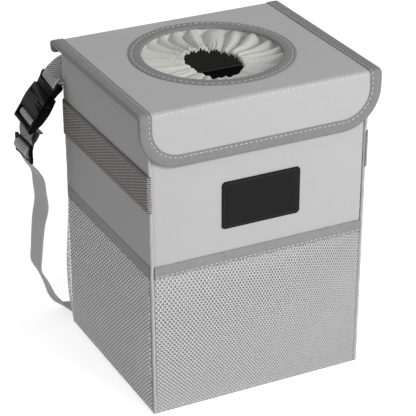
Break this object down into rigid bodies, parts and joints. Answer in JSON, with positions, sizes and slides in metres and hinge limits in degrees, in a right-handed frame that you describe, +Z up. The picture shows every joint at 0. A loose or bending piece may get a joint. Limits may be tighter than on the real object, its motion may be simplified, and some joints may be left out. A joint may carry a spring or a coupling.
{
  "type": "car trash bin",
  "caption": "Soft-sided car litter bin on stiff boards with a hinged lid, gathered round opening, mesh pockets and a buckled hanging strap.",
  "frame": {"origin": "middle of the body's base, on the surface it stands on", "axes": "+Z up, -Y to the front with the patch, the buckle on the -X side"},
  "size_m": [0.2337, 0.1919, 0.2483],
  "materials": {
    "shell_fabric": "plain woven polyester, matt",
    "side_fabric": "plain woven polyester, matt",
    "stiffener": "rigid board",
    "liner": "coated waterproof cloth",
    "facing": "dark lining cloth",
    "tape": "woven binding tape",
    "mesh": "knitted mesh",
    "side_webbing": "ribbed webbing",
    "patch": "dark woven patch",
    "closure": "hook and loop tape",
    "strap_webbing": "woven webbing",
    "buckle_plastic": "moulded black plastic",
    "lid_lining": "lining cloth",
    "cuff_cloth": "gathered light cloth",
    "elastic": "covered elastic"
  },
  "bodies": {
    "root": {"front_panel": "shell_fabric", "back_panel": "shell_fabric", "back_lip": "shell_fabric", "left_panel": "side_fabric", "right_panel": "side_fabric", "bottom_panel": "side_fabric", "left_anchor": "side_fabric", "right_anchor": "side_fabric", "front_board": "stiffener", "back_board": "stiffener", "left_board": "stiffener", "right_board": "stiffener", "base_board": "stiffener", "waterproof_liner": "liner", "inner_facing": "facing", "rim_binding": "tape", "front_pocket_band": "tape", "left_pocket_band": "tape", "right_pocket_band": "tape", "back_lip_binding": "tape", "front_pocket_mesh": "mesh", "left_pocket_mesh": "mesh", "right_pocket_mesh": "mesh", "left_webbing": "side_webbing", "right_webbing": "side_webbing", "front_patch": "patch", "loop_strip": "closure", "strap_upper": "strap_webbing", "strap_lower": "strap_webbing", "buckle_male": "buckle_plastic"},
    "lid": {"lid_panel": "shell_fabric", "lid_board": "stiffener", "lid_lining": "lid_lining", "left_lid_binding": "tape", "right_lid_binding": "tape", "hole_ring": "tape", "cuff": "cuff_cloth", "cuff_elastic": "elastic"},
    "flap": {"flap_panel": "shell_fabric", "flap_board": "stiffener", "flap_lining": "lid_lining", "flap_binding": "tape", "hook_strip": "closure"},
    "buckle_half": {"buckle_female": "buckle_plastic", "strap_loop": "strap_webbing"},
    "slider": {"slider": "buckle_plastic"}
  },
  "joints": [
    {"name": "lid_hinge", "type": "hinge", "parent": "root", "child": "lid", "pos_m": [0, 0.0793, 0.2463], "axis": [-1, 0, 0], "range_deg": [0, 180]},
    {"name": "flap_fold", "type": "hinge", "parent": "lid", "child": "flap", "pos_m": [0, -0.0807, 0.2463], "axis": [-1, 0, 0], "range_deg": [0, 90]},
    {"name": "buckle_release", "type": "slide", "parent": "root", "child": "buckle_half", "axis": [-0.5491, 0.0919, -0.8307], "range_m": [0, 0.022], "deforming": ["buckle_male", "strap_lower"]},
    {"name": "slider_adjust", "type": "slide", "parent": "buckle_half", "child": "slider", "axis": [0, 0, 1], "range_m": [0, 0.008], "deforming": ["strap_loop", "strap_lower"]}
  ]
}
